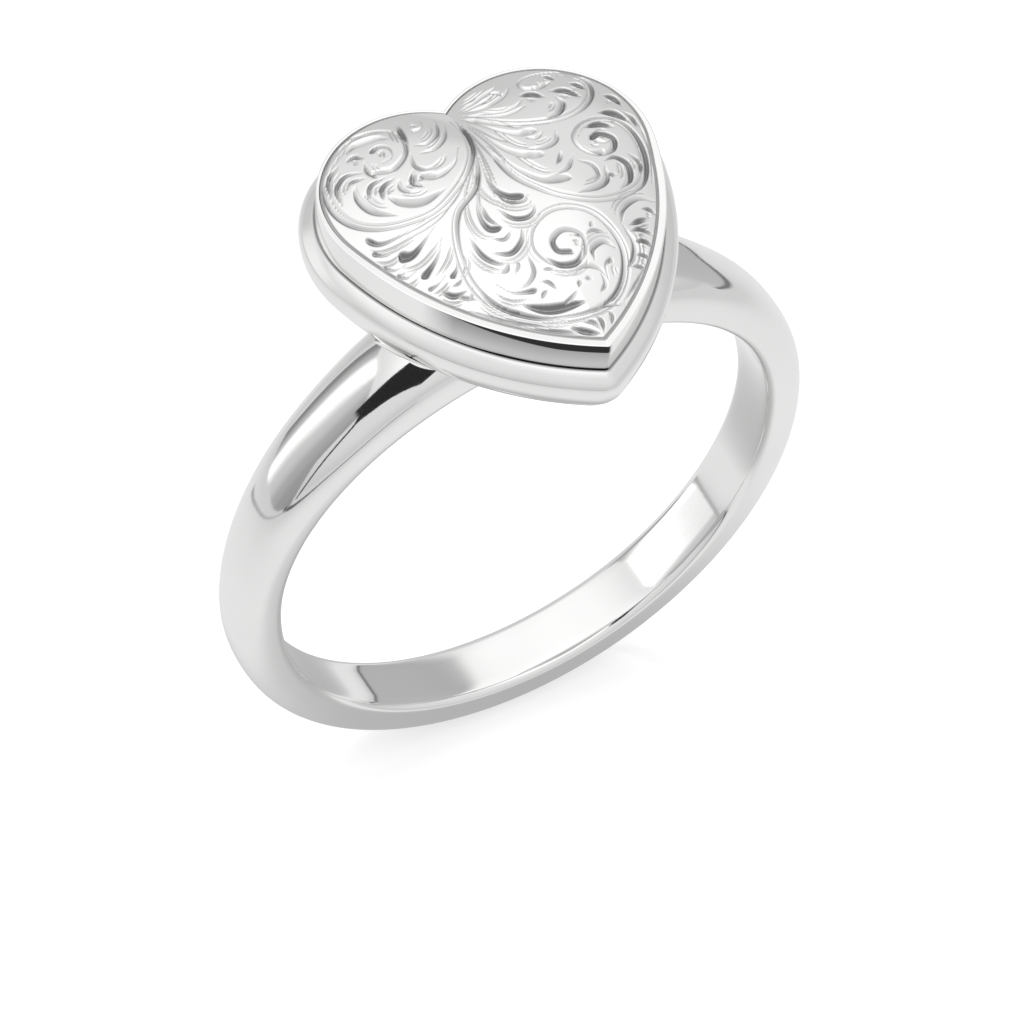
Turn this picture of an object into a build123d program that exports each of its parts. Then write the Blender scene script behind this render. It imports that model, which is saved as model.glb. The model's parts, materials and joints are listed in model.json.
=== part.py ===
from build123d import *
from math import acos, cos, degrees, radians, sin
import os

# Heart locket ring in silver: a finger band that carries a small hinged heart-shaped box.
# Millimetres. The origin is the centre of the finger bore, Y runs along the finger, +Z goes up
# through the heart, and the heart's tip points to -Y.

# ---- finger band
bore_radius = 8.5
band_radius = 9.95
shoulder_radius = 10.3
shoulder_start = 48.0
shoulder_end = 66.0
base_half_width = 1.1
shoulder_half_width = 1.75
crown_rise = 0.62
crown_corner = 0.42
bore_corner = 0.3
bore_allowance = 0.06
first_section = -102.0
section_step = 12.0
section_count = 18

# ---- heart outline: one lobe arc and one side arc on each half, measured at the lid's top edge
lobe_radius = 3.38
lobe_x = 1.98
lobe_y = 2.87
join_angle = 13.6
side_radius = 10.25

# ---- heights
back_z = 9.05
floor_z = 9.5
bulge_z = 10.15
neck_z = 10.6
seam_z = 10.85
border_z = 11.95
dome_height = 1.05
dome_y = 1.0
dome_steps = (1.0, 0.9, 0.75, 0.55, 0.35, 0.12)
dome_inner = 0.94

# ---- how far each level stands outside the outline, and how round its tip is
back_out, back_tip = -0.15, 1.2
floor_out, floor_tip = 0.25, 1.0
bulge_out, bulge_tip = 0.46, 0.8
neck_out, neck_tip = 0.33, 0.4
seam_out, seam_tip = 0.0, 0.2
border_out, border_tip = 0.0, 0.12

# ---- walls
cavity_out = -0.35
bezel_wall = 0.25
bezel_foot = 0.6
bezel_stand = 0.35
bezel_gap = 1.7
lid_clearance = 0.03
rim_width = 0.22
plate_thickness = 0.32
cavity_tip = 0.1

# ---- hinge
hinge_y = 6.45
hinge_z = 10.15
knuckle_radius = 0.34
pin_radius = 0.15
pin_clearance = 0.03
lid_knuckle_length = 0.6
case_knuckle_length = 0.8
knuckle_gap = 0.03
rivet_radius = 0.25
rivet_length = 0.1
groove_clearance = 0.06
leaf_lift = 0.03
leaf_thickness = 0.2
leaf_reach = 0.07
leaf_elbow_y = 5.85
leaf_elbow_thickness = 0.25
leaf_foot_z = 10.45
notch_play = 0.08

# ---- catch at the tip
tongue_width = 1.1
tongue_thickness = 0.14
tongue_y = -3.05
tongue_top = 11.62
bead_radius = 0.13
bead_z = 11.47
nib_radius = 0.16
nib_z = 11.28
nib_width = 1.0
catch_play = 0.05

# ---- keepsake frame on the case floor
frame_play = 0.05
frame_width = 0.4
frame_height = 0.3

os.makedirs("parts", exist_ok=True)


def save(piece, name):
    """Label a finished piece and write it to its own file."""
    piece.part.label = name
    export_step(piece.part, f"parts/{name}.step")


def heart(out, tip_round):
    """A heart sketch, its edge `out` outside the outline and its tip rounded."""
    join = radians(join_angle)
    lobe = lobe_radius + out
    side = side_radius + out
    side_x = lobe_x + (lobe_radius - side_radius) * cos(join)
    side_y = lobe_y - (lobe_radius - side_radius) * sin(join)
    cleft_angle = degrees(acos(-lobe_x / lobe))
    tip_angle = -degrees(acos(-side_x / side))
    with BuildSketch() as outline:
        with BuildLine():
            CenterArc((lobe_x, lobe_y), lobe, -join_angle, cleft_angle + join_angle)
            CenterArc((side_x, side_y), side, tip_angle, -join_angle - tip_angle)
            mirror(about=Plane.YZ)
        make_face()
        fillet(outline.vertices().sort_by(Axis.Y)[0], radius=tip_round)
    return outline.sketch


def along_x(start):
    """The plane square to the X axis at x = start, drawn in (y, z)."""
    return Plane(origin=(start, 0, 0), x_dir=(0, 1, 0), z_dir=(1, 0, 0))


# ---- outer form of the case: floor plate and belly together
with BuildPart() as case_form:
    levels = (
        (back_z, back_out, back_tip),
        (floor_z, floor_out, floor_tip),
        (bulge_z, bulge_out, bulge_tip),
        (neck_z, neck_out, neck_tip),
        (seam_z, seam_out, seam_tip),
    )
    for level, out, tip_round in levels:
        with BuildSketch(Plane.XY.offset(level)):
            add(heart(out, tip_round))
    loft()

# ---- outer form of the lid's wall, upright from the seam to the border
with BuildPart() as lid_form:
    with BuildSketch(Plane.XY.offset(seam_z)):
        add(heart(seam_out, seam_tip))
    with BuildSketch(Plane.XY.offset(border_z)):
        add(heart(border_out, border_tip))
    loft(ruled=True)


# ---- band: a D section carried round the finger, wider and thicker towards the heart
def band_plane(angle):
    """The plane that cuts the band square at an angle above the +X axis."""
    turn = radians(angle)
    return Plane(
        origin=(0, 0, 0), x_dir=(cos(turn), 0, sin(turn)), z_dir=(-sin(turn), 0, cos(turn))
    )


def band_section(angle):
    """The band's section at an angle above the +X axis, x being the distance from the bore's axis."""
    lift = max(0.0, sin(radians(angle)))
    half_width = base_half_width + (shoulder_half_width - base_half_width) * lift**1.5
    swell = min(1.0, max(0.0, (angle - shoulder_start) / (shoulder_end - shoulder_start)))
    radius = band_radius + (shoulder_radius - band_radius) * swell**2 * (3 - 2 * swell)
    inner = bore_radius - bore_allowance
    side = radius - crown_rise
    with BuildSketch() as section:
        with BuildLine():
            Polyline((side, half_width), (inner, half_width), (inner, -half_width), (side, -half_width))
            ThreePointArc((side, -half_width), (radius, 0), (side, half_width))
        make_face()
        fillet(section.vertices().group_by(Axis.X)[0], radius=bore_corner)
        fillet(section.vertices().group_by(Axis.X)[-1], radius=crown_corner)
    return section.sketch


with BuildPart() as band:
    for step in range(section_count):
        angle = first_section + step * section_step
        with BuildSketch(band_plane(angle)):
            add(band_section(angle))
    loft()
    split(bisect_by=Plane.YZ, keep=Keep.TOP)
    mirror(about=Plane.YZ)
    Cylinder(bore_radius, 4 * shoulder_half_width, rotation=(90, 0, 0), mode=Mode.SUBTRACT)
    add(case_form.part, mode=Mode.SUBTRACT)
save(band, "band")


# ---- case: a floor plate, a belly wall, and a bezel that stands up inside the closed lid
with BuildPart() as case_floor:
    add(case_form.part)
    split(bisect_by=Plane.XY.offset(floor_z), keep=Keep.BOTTOM)
save(case_floor, "case_floor")

knuckle_start = lid_knuckle_length / 2 + knuckle_gap
knuckle_end = knuckle_start + case_knuckle_length
pin_end = knuckle_end + rivet_length
groove_end = pin_end + knuckle_gap
leaf_back = hinge_y + leaf_reach
leaf_foot_y = hinge_y - leaf_elbow_thickness

with BuildPart() as case_wall:
    add(case_form.part)
    split(bisect_by=Plane.XY.offset(floor_z), keep=Keep.TOP)
    with BuildSketch(Plane.XY.offset(floor_z)):
        add(heart(cavity_out, cavity_tip))
    extrude(amount=seam_z - floor_z, mode=Mode.SUBTRACT)
    with BuildSketch(along_x(-groove_end)):
        with Locations((hinge_y, hinge_z)):
            Circle(knuckle_radius)
    extrude(amount=2 * groove_end, mode=Mode.SUBTRACT)
    with BuildSketch(along_x(-knuckle_start)):
        with Locations((hinge_y, hinge_z)):
            Circle(knuckle_radius + groove_clearance)
    extrude(amount=2 * knuckle_start, mode=Mode.SUBTRACT)
    with BuildSketch(along_x(-knuckle_start)):
        with BuildLine():
            Polyline(
                (leaf_elbow_y - notch_play, seam_z + leaf_lift),
                (leaf_foot_y - notch_play, hinge_z),
                (hinge_y + knuckle_radius, hinge_z),
                (hinge_y + knuckle_radius, seam_z + leaf_lift),
                close=True,
            )
        make_face()
    extrude(amount=2 * knuckle_start, mode=Mode.SUBTRACT)
save(case_wall, "case_wall")

with BuildPart() as case_bezel:
    with BuildSketch(Plane.XY.offset(seam_z - bezel_foot)):
        add(heart(cavity_out, cavity_tip))
        add(heart(cavity_out - bezel_wall, cavity_tip), mode=Mode.SUBTRACT)
    extrude(amount=bezel_foot + bezel_stand)
    with BuildSketch(Plane.XY):
        with Locations((0, 2 * tongue_y)):
            Rectangle(bezel_gap, abs(2 * tongue_y))
    extrude(amount=2 * seam_z, mode=Mode.SUBTRACT)
save(case_bezel, "case_bezel")

# ---- keepsake frame: a loose heart-shaped ring on the floor, inside the wall
with BuildPart() as keepsake_frame:
    with BuildSketch(Plane.XY.offset(floor_z)):
        add(heart(cavity_out - frame_play, cavity_tip))
        add(heart(cavity_out - frame_play - frame_width, cavity_tip), mode=Mode.SUBTRACT)
    extrude(amount=frame_height)
save(keepsake_frame, "keepsake_frame")

# ---- lid: an upright wall with a ledge, and the domed plate that sits inside it
plate_z = border_z - plate_thickness
lid_inner = cavity_out + lid_clearance

with BuildPart() as lid_wall:
    add(lid_form.part)
    with BuildSketch(Plane.XY.offset(seam_z)):
        add(heart(lid_inner, cavity_tip))
    extrude(amount=plate_z - seam_z, mode=Mode.SUBTRACT)
    with BuildSketch(Plane.XY.offset(plate_z)):
        add(heart(-rim_width, cavity_tip))
    extrude(amount=plate_thickness, mode=Mode.SUBTRACT)
save(lid_wall, "lid_wall")


def dome_section(share):
    """The plate's heart shrunk to a share of its size about the dome's centre."""
    with BuildSketch() as section:
        with Locations((0, dome_y * (1 - share))):
            add(scale(heart(-rim_width, cavity_tip), by=share, mode=Mode.PRIVATE))
    return section.sketch


with BuildPart() as dome_form:
    for share in dome_steps:
        with BuildSketch(Plane.XY.offset(border_z + dome_height * (1 - share**2))):
            add(dome_section(share))
    loft()

with BuildPart() as dome_hollow:
    for share in dome_steps:
        with BuildSketch(Plane.XY.offset(plate_z + dome_height * (1 - share**2))):
            add(dome_section(share * dome_inner))
    loft()

with BuildPart() as lid_dome:
    with BuildSketch(Plane.XY.offset(plate_z)):
        add(heart(-rim_width, cavity_tip))
    extrude(amount=plate_thickness)
    add(dome_form.part)
    add(dome_hollow.part, mode=Mode.SUBTRACT)
save(lid_dome, "lid_dome")

# ---- hinge: two tubes on the case, one with a leaf on the lid, and a riveted pin
for name, start in (("case_knuckle_left", -knuckle_end), ("case_knuckle_right", knuckle_start)):
    with BuildPart() as case_knuckle:
        with BuildSketch(along_x(start)):
            with Locations((hinge_y, hinge_z)):
                Circle(knuckle_radius)
                Circle(pin_radius, mode=Mode.SUBTRACT)
        extrude(amount=case_knuckle_length)
    save(case_knuckle, name)

leaf_low = seam_z + leaf_lift
leaf_high = leaf_low + leaf_thickness

with BuildPart() as lid_knuckle:
    with BuildSketch(along_x(-lid_knuckle_length / 2)):
        with BuildLine():
            Polyline(
                (dome_y, leaf_low),
                (leaf_elbow_y, leaf_low),
                (leaf_foot_y, hinge_z),
                (leaf_back, hinge_z),
                (leaf_back, leaf_foot_z),
                (leaf_elbow_y + leaf_elbow_thickness, leaf_low),
                (leaf_elbow_y + leaf_elbow_thickness / 2, leaf_high),
                (dome_y, leaf_high),
                close=True,
            )
        make_face()
    extrude(amount=lid_knuckle_length)
    with BuildSketch(Plane.XY.offset(seam_z)):
        add(heart(seam_out, seam_tip))
    extrude(amount=leaf_lift, mode=Mode.SUBTRACT)
    add(lid_form.part, mode=Mode.SUBTRACT)
    with BuildSketch(along_x(-lid_knuckle_length / 2)):
        with Locations((hinge_y, hinge_z)):
            Circle(knuckle_radius)
    extrude(amount=lid_knuckle_length)
    with BuildSketch(along_x(-lid_knuckle_length / 2)):
        with Locations((hinge_y, hinge_z)):
            Circle(pin_radius + pin_clearance)
    extrude(amount=lid_knuckle_length, mode=Mode.SUBTRACT)
save(lid_knuckle, "lid_knuckle")

with BuildPart() as hinge_pin:
    with BuildSketch(along_x(-pin_end)):
        with Locations((hinge_y, hinge_z)):
            Circle(pin_radius)
    extrude(amount=2 * pin_end)
    for start in (-pin_end, knuckle_end):
        with BuildSketch(along_x(start)):
            with Locations((hinge_y, hinge_z)):
                Circle(rivet_radius)
        extrude(amount=rivet_length)
    ends = hinge_pin.edges().filter_by(GeomType.CIRCLE).group_by(Axis.X)
    fillet(ends[0] + ends[-1], radius=0.6 * rivet_length)
save(hinge_pin, "hinge_pin")

# ---- catch: a spring tongue that stands in the bezel's gap, and a nib inside the lid's tip
tongue_foot = floor_z + tongue_thickness / 2
tongue_face = tongue_y - tongue_thickness / 2

with BuildPart() as catch_spring:
    with BuildSketch(along_x(-tongue_width / 2)):
        with Locations((tongue_y, (tongue_foot + tongue_top) / 2)):
            Rectangle(tongue_thickness, tongue_top - tongue_foot)
        with Locations((tongue_y, tongue_foot)):
            Circle(tongue_thickness / 2)
        with Locations((tongue_face, bead_z)):
            Circle(bead_radius)
    extrude(amount=tongue_width)
save(catch_spring, "catch_spring")

nib_y = tongue_face - bead_radius - catch_play - nib_radius

with BuildPart() as catch_nib:
    with BuildSketch(along_x(-nib_width / 2)):
        with Locations((nib_y, nib_z)):
            Circle(nib_radius)
        with Locations((1.5 * nib_y, nib_z)):
            Rectangle(abs(nib_y), nib_radius * 1.5)
    extrude(amount=nib_width)
    with BuildSketch(Plane.XY.offset(seam_z)):
        add(heart(lid_inner, cavity_tip))
    extrude(amount=plate_z - seam_z, mode=Mode.INTERSECT)
save(catch_nib, "catch_nib")
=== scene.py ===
import json
import math
import bmesh
import bpy
import numpy as np
from mathutils import Matrix, Vector


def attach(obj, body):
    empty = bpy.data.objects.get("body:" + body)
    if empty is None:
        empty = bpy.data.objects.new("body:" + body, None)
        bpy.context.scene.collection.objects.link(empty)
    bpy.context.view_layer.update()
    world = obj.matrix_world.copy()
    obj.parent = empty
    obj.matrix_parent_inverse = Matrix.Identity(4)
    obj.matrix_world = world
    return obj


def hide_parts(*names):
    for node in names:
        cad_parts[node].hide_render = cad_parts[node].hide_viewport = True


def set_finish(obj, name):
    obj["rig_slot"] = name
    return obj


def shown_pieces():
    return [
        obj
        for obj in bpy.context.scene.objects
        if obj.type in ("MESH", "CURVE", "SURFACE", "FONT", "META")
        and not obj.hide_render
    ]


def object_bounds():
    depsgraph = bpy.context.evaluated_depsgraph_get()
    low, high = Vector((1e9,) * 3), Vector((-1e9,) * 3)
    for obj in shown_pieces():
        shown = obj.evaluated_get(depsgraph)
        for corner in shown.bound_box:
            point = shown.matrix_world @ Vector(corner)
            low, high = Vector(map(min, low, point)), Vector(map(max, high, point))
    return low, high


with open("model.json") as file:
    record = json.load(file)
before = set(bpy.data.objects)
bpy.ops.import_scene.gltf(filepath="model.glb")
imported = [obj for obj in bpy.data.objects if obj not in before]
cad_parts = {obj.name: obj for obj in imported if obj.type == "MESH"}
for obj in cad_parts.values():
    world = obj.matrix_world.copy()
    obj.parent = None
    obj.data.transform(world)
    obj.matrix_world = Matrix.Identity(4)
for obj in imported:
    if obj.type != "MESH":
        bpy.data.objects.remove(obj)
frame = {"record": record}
cad_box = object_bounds()

# lengths are in mm, and become metres in the meshes
MM = 0.001

# ---- heart outline, as in the part: a lobe arc and a side arc on each half, joined at an angle below level
LOBE_R, LOBE_X, LOBE_Y = 3.38, 1.98, 2.87
SIDE_R = 10.25
JOIN = math.radians(13.6)
CENTRE_Y = 1.0
# heights of the case's back, the compartment's floor, the seam and the border of the lid
BACK_Z, FLOOR_Z, SEAM_Z, BORDER_Z = 9.05, 9.5, 10.85, 11.95
SEAM_GAP = 0.003
# height, how far outside the outline, and tip rounding of the case's outer form
CASE_LEVELS = ((9.05, -0.15, 1.2), (9.5, 0.25, 1.0), (10.15, 0.46, 0.8), (10.6, 0.33, 0.4), (10.85, 0.0, 0.2))
# how far outside the outline the insides of the case and of the lid lie
CAVITY_OUT, LID_INNER = -0.35, -0.32
# the bright-cut border: its width beside the tip and round the lobes, and where it broadens
BORDER_TIP, BORDER_LOBE, BROADENS_AT, BROADENS_OVER = 0.26, 0.11, 4.2, 3.2
# the dome: its rise, the radius at which its round middle would reach the border, and the plate's thickness
DOME_RISE, DOME_ROUND, PLATE = 1.05, 5.1, 0.32
# faces that meet at more than this angle keep a sharp edge
SHARP = 35


def smooth(t):
    """Eases 0 to 1."""
    return t * t * (3 - 2 * t)


def half_outline(out, tip, n_lobe=130, n_side=110, n_tip=14):
    """Right half of the heart from the cleft to the tip."""
    lobe, side = LOBE_R + out, SIDE_R + out
    sx = LOBE_X + (LOBE_R - SIDE_R) * math.cos(JOIN)
    sy = LOBE_Y - (LOBE_R - SIDE_R) * math.sin(JOIN)
    a = np.linspace(math.acos(-LOBE_X / lobe), -JOIN, n_lobe)
    arcs = [np.c_[LOBE_X + lobe * np.cos(a), LOBE_Y + lobe * np.sin(a)]]
    fy = sy - math.sqrt((side - tip) ** 2 - sx ** 2)
    e = math.atan2(fy - sy, -sx)
    b = np.linspace(-JOIN, e, n_side)[1:]
    arcs.append(np.c_[sx + side * np.cos(b), sy + side * np.sin(b)])
    c = np.linspace(e, -math.pi / 2, n_tip)[1:]
    arcs.append(np.c_[tip * np.cos(c), fy + tip * np.sin(c)])
    pts = np.vstack(arcs)
    pts[0, 0] = pts[-1, 0] = 0.0
    return pts


def outline(out, tip):
    """The whole heart, clockwise from the cleft."""
    half = half_outline(out, tip)
    return np.vstack([half, (half * [-1, 1])[::-1][1:-1]])


def spline(xs, ys):
    """Natural cubic spline through a few points, returned as a function."""
    xs, ys = np.array(xs, float), np.array(ys, float)
    n, h = len(xs), np.diff(xs)
    m = np.eye(n)
    r = np.zeros(n)
    for i in range(1, n - 1):
        m[i, i - 1], m[i, i], m[i, i + 1] = h[i - 1], 2 * (h[i - 1] + h[i]), h[i]
        r[i] = 6 * ((ys[i + 1] - ys[i]) / h[i] - (ys[i] - ys[i - 1]) / h[i - 1])
    k = np.linalg.solve(m, r)

    def at(x):
        i = int(np.clip(np.searchsorted(xs, x) - 1, 0, n - 2))
        a, b = xs[i + 1] - x, x - xs[i]
        return (
            (k[i] * a ** 3 + k[i + 1] * b ** 3) / (6 * h[i])
            + (ys[i] / h[i] - k[i] * h[i] / 6) * a
            + (ys[i + 1] / h[i] - k[i + 1] * h[i] / 6) * b
        )

    return at


case_out = spline([v[0] for v in CASE_LEVELS], [v[1] for v in CASE_LEVELS])
case_tip = spline([v[0] for v in CASE_LEVELS], [v[2] for v in CASE_LEVELS])


def new_piece(name, verts, faces, body, slot, replaced, sharp=SHARP):
    """A mesh piece from vertices in mm, on a body, in place of a node of the part."""
    mesh = bpy.data.meshes.new(name)
    mesh.from_pydata((np.asarray(verts, float) * MM).tolist(), [], faces)
    mesh.update()
    piece = bpy.data.objects.new(name, mesh)
    bpy.context.scene.collection.objects.link(piece)
    finish_shading(piece, sharp)
    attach(piece, body)
    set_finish(piece, slot)
    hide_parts(replaced)
    return piece


def mark_oxide_and_shade(piece, how):
    """Store how dark each point is painted, from its place in mm: oxide in the engraved cuts, and painted
    shade and painted reflection elsewhere.
    """
    points = np.empty(len(piece.data.vertices) * 3)
    piece.data.vertices.foreach_get("co", points)
    mark = piece.data.attributes.new("oxide", "FLOAT", "POINT")
    mark.data.foreach_set("value", np.clip(how(*(points.reshape(-1, 3) / MM).T), 0, 1).astype(np.float32))


def reach_of(half):
    """Distance from the dome's centre to a half outline, as a function of the angle there."""
    angles = np.arctan2(half[:, 1] - CENTRE_Y, half[:, 0])
    order = np.argsort(angles)
    reach = np.hypot(half[:, 0], half[:, 1] - CENTRE_Y)
    return lambda angle: np.interp(angle, angles[order], reach[order])


def outer_line(x, y, level_met, out):
    """1 where a level is met outside the outline offset by out, else 0."""
    limit = reach_of(half_outline(out, 0.2))(np.arctan2(y - CENTRE_Y, np.abs(x)))
    return level_met & (np.hypot(x, y - CENTRE_Y) > limit)


def finish_shading(piece, sharp=SHARP):
    """Outward normals, and smooth shading except across edges of more than `sharp` degrees."""
    work = bmesh.new()
    work.from_mesh(piece.data)
    bmesh.ops.recalc_face_normals(work, faces=work.faces)
    limit = math.radians(sharp)
    for face in work.faces:
        face.smooth = True
    for edge in work.edges:
        edge.smooth = len(edge.link_faces) == 2 and edge.calc_face_angle(0.0) < limit
    work.to_mesh(piece.data)
    work.free()


def stack(loops, close=True, cap_first=False, cap_last=False):
    """Quads between equal loops; close joins the last loop to the first."""
    n = len(loops[0])
    verts = np.vstack(loops)
    faces = []
    pairs = len(loops) if close else len(loops) - 1
    for k in range(pairs):
        a, b = k * n, ((k + 1) % len(loops)) * n
        for i in range(n):
            j = (i + 1) % n
            faces.append((a + i, a + j, b + j, b + i))
    if cap_first:
        faces.append(tuple(range(n)))
    if cap_last:
        faces.append(tuple(range((len(loops) - 1) * n, len(loops) * n)))
    return verts, faces


def level(z, out, tip):
    """The outline at one height."""
    pts = outline(out, tip)
    return np.c_[pts, np.full(len(pts), z)]


def field_edge(points_of, **counts):
    """The dome's edge: the border round it is broad beside the tip and thin round the lobes."""
    broad, thin = points_of(-BORDER_TIP, 0.1, **counts), points_of(-BORDER_LOBE, 0.1, **counts)
    share = np.clip((BROADENS_AT - broad[:, 1:]) / BROADENS_OVER, 0, 1)
    return thin + (broad - thin) * share


def shrunk(z, out, tip, share):
    """An outline shrunk about the dome's centre."""
    pts = outline(out, tip)
    return np.c_[pts[:, 0] * share, CENTRE_Y + (pts[:, 1] - CENTRE_Y) * share, np.full(len(pts), z)]


# ---- belly wall
loops = [level(FLOOR_Z, case_out(FLOOR_Z) - 0.04, 1.0)]
loops.append(level(FLOOR_Z + 0.012, case_out(FLOOR_Z) - 0.01, 1.0))
for z in np.linspace(FLOOR_Z + 0.04, SEAM_Z - 0.05, 44):
    loops.append(level(z, case_out(z), case_tip(z)))
loops.append(level(SEAM_Z - 0.02, case_out(SEAM_Z - 0.02) - 0.012, 0.2))
loops.append(level(SEAM_Z - SEAM_GAP, case_out(SEAM_Z) - 0.05, 0.2))
loops.append(level(SEAM_Z - SEAM_GAP, case_out(SEAM_Z) - 0.08, 0.2))
loops.append(level(SEAM_Z - SEAM_GAP, CAVITY_OUT, 0.1))
loops.append(level(FLOOR_Z, CAVITY_OUT, 0.1))
belly = new_piece("belly_wall", *stack(loops), "ring", "case_silver", "case_wall")

# ---- hinge clearances cut into the belly, as in the part
HINGE_Y, HINGE_Z = 6.45, 10.15
# radius and half length of the room for the tubes, and for the leaf, which also needs a notch of (y, z)
TUBES_ROOM, TUBES_HALF = 0.345, 1.27
LEAF_ROOM, LEAF_HALF = 0.4, 0.33
NOTCH = [(5.77, 10.95), (6.12, 10.15), (6.85, 10.15), (6.85, 10.95)]


def cutter(name, profile, half):
    """A prism along X from a profile of (y, z) points."""
    n = len(profile)
    verts = [(-half, y, z) for y, z in profile] + [(half, y, z) for y, z in profile]
    faces = [tuple(range(n)), tuple(range(n, 2 * n))]
    faces += [(i, (i + 1) % n, n + (i + 1) % n, n + i) for i in range(n)]
    mesh = bpy.data.meshes.new(name)
    mesh.from_pydata((np.array(verts) * MM).tolist(), [], faces)
    obj = bpy.data.objects.new(name, mesh)
    bpy.context.scene.collection.objects.link(obj)
    finish_shading(obj)
    return obj


def round_profile(r, n=40):
    """A circle about the hinge axis."""
    turns = np.linspace(0, 2 * math.pi, n, endpoint=False)
    return [(HINGE_Y + r * math.cos(t), HINGE_Z + r * math.sin(t)) for t in turns]


def cut(piece, cutters):
    """Takes the cutters out of a piece and removes them."""
    for c in cutters:
        m = piece.modifiers.new("cut", "BOOLEAN")
        m.operation, m.solver, m.object = "DIFFERENCE", "EXACT", c
    dg = bpy.context.evaluated_depsgraph_get()
    made = bpy.data.meshes.new_from_object(piece.evaluated_get(dg))
    piece.modifiers.clear()
    piece.data = made
    finish_shading(piece)
    for c in cutters:
        bpy.data.objects.remove(c)


cut(belly, [
    cutter("cut_knuckles", round_profile(TUBES_ROOM), TUBES_HALF),
    cutter("cut_groove", round_profile(LEAF_ROOM), LEAF_HALF),
    cutter("cut_notch", NOTCH, LEAF_HALF),
])


def belly_painted_shade(x, y, z):
    """Painted shade: dark lines at the seam and where the belly meets the back plate."""
    return 0.8 * outer_line(x, y, (z > SEAM_Z - 0.025) | (z < FLOOR_Z + 0.05), -0.06)


mark_oxide_and_shade(belly, belly_painted_shade)

# ---- back plate under the compartment
loops = [shrunk(FLOOR_Z, case_out(FLOOR_Z) - 0.04, 1.0, s) for s in (0.03, 0.2, 0.45, 0.7, 0.9, 1.0)]
loops.append(level(FLOOR_Z - 0.012, case_out(FLOOR_Z) - 0.012, 1.0))
for z in np.linspace(FLOOR_Z - 0.04, BACK_Z + 0.05, 12):
    loops.append(level(z, case_out(z), case_tip(z)))
loops.append(level(BACK_Z + 0.01, case_out(BACK_Z + 0.01) - 0.03, 1.2))
loops += [shrunk(BACK_Z, case_out(BACK_Z) - 0.08, 1.2, s) for s in (1.0, 0.9, 0.7, 0.45, 0.2, 0.03)]
form = stack(loops, close=False, cap_first=True, cap_last=True)
plate = new_piece("back_plate", *form, "ring", "case_silver", "case_floor")
# painted shade: a dark line along the plate's top where the belly meets it
mark_oxide_and_shade(plate, lambda x, y, z: 0.9 * outer_line(x, y, z > FLOOR_Z - 0.015, 0.1))

# ---- lid wall with its bright-cut border
loops = [level(SEAM_Z + SEAM_GAP, -0.05, 0.2), level(SEAM_Z + 0.02, -0.014, 0.2)]
for z in np.r_[np.linspace(SEAM_Z + 0.04, SEAM_Z + 0.12, 6), np.linspace(SEAM_Z + 0.2, BORDER_Z - 0.42, 6),
               np.linspace(BORDER_Z - 0.36, BORDER_Z - 0.03, 18)]:
    loops.append(level(z, 0.0, 0.2 - 0.08 * (z - SEAM_Z) / (BORDER_Z - SEAM_Z)))
loops.append(level(BORDER_Z - 0.012, -0.004, 0.12))
loops.append(level(BORDER_Z, -0.03, 0.12))
inner = field_edge(outline)
brink = inner + (outline(0.0, 0.12) - inner) * 0.14
loops.append(np.c_[brink, np.full(len(inner), BORDER_Z - 0.008)])
loops.append(np.c_[inner, np.full(len(inner), BORDER_Z - 0.05)])
loops.append(np.c_[inner, np.full(len(inner), BORDER_Z - PLATE)])
loops.append(level(BORDER_Z - PLATE, LID_INNER, 0.1))
loops.append(level(SEAM_Z + SEAM_GAP, LID_INNER, 0.1))
loops.append(level(SEAM_Z + SEAM_GAP, -0.08, 0.1))
lid_wall = new_piece("lid_wall_bright_cut", *stack(loops), "lid", "lid_silver", "lid_wall", sharp=25)


def wall_painted_shade(x, y, z):
    """Painted shade and reflection: the seam is dark; left of the tip the wall is grey as a painted
    reflection, with a dark painted shade line under its border.
    """
    left = np.clip((0.1 - x) / 0.1, 0, 1)
    near_tip = np.clip((-0.7 - y) / 0.9, 0, 1)
    below = BORDER_Z - z
    # grey is a painted reflection; the line under the border and the seam are painted shade
    grey = (0.34 + 0.34 * np.clip(1 - below / 0.8, 0, 1)) * near_tip * left
    line_reach = 0.07 + 0.27 * np.clip((-1.6 - y) / 2.2, 0, 1)
    line = 1.05 * np.clip((line_reach - below) / 0.04, 0, 1) * np.clip((-0.9 - y) / 0.6, 0, 1) * left
    seam_reach = 0.045 + 0.06 * np.clip((-1.6 - y) / 1.2, 0, 1) * left
    seam = 1.05 * np.clip((SEAM_Z + seam_reach - z) / 0.03, 0, 1)
    return outer_line(x, y, below > 0.02, -0.06) * np.maximum(np.maximum(grey, line), seam)


mark_oxide_and_shade(lid_wall, wall_painted_shade)

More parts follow.
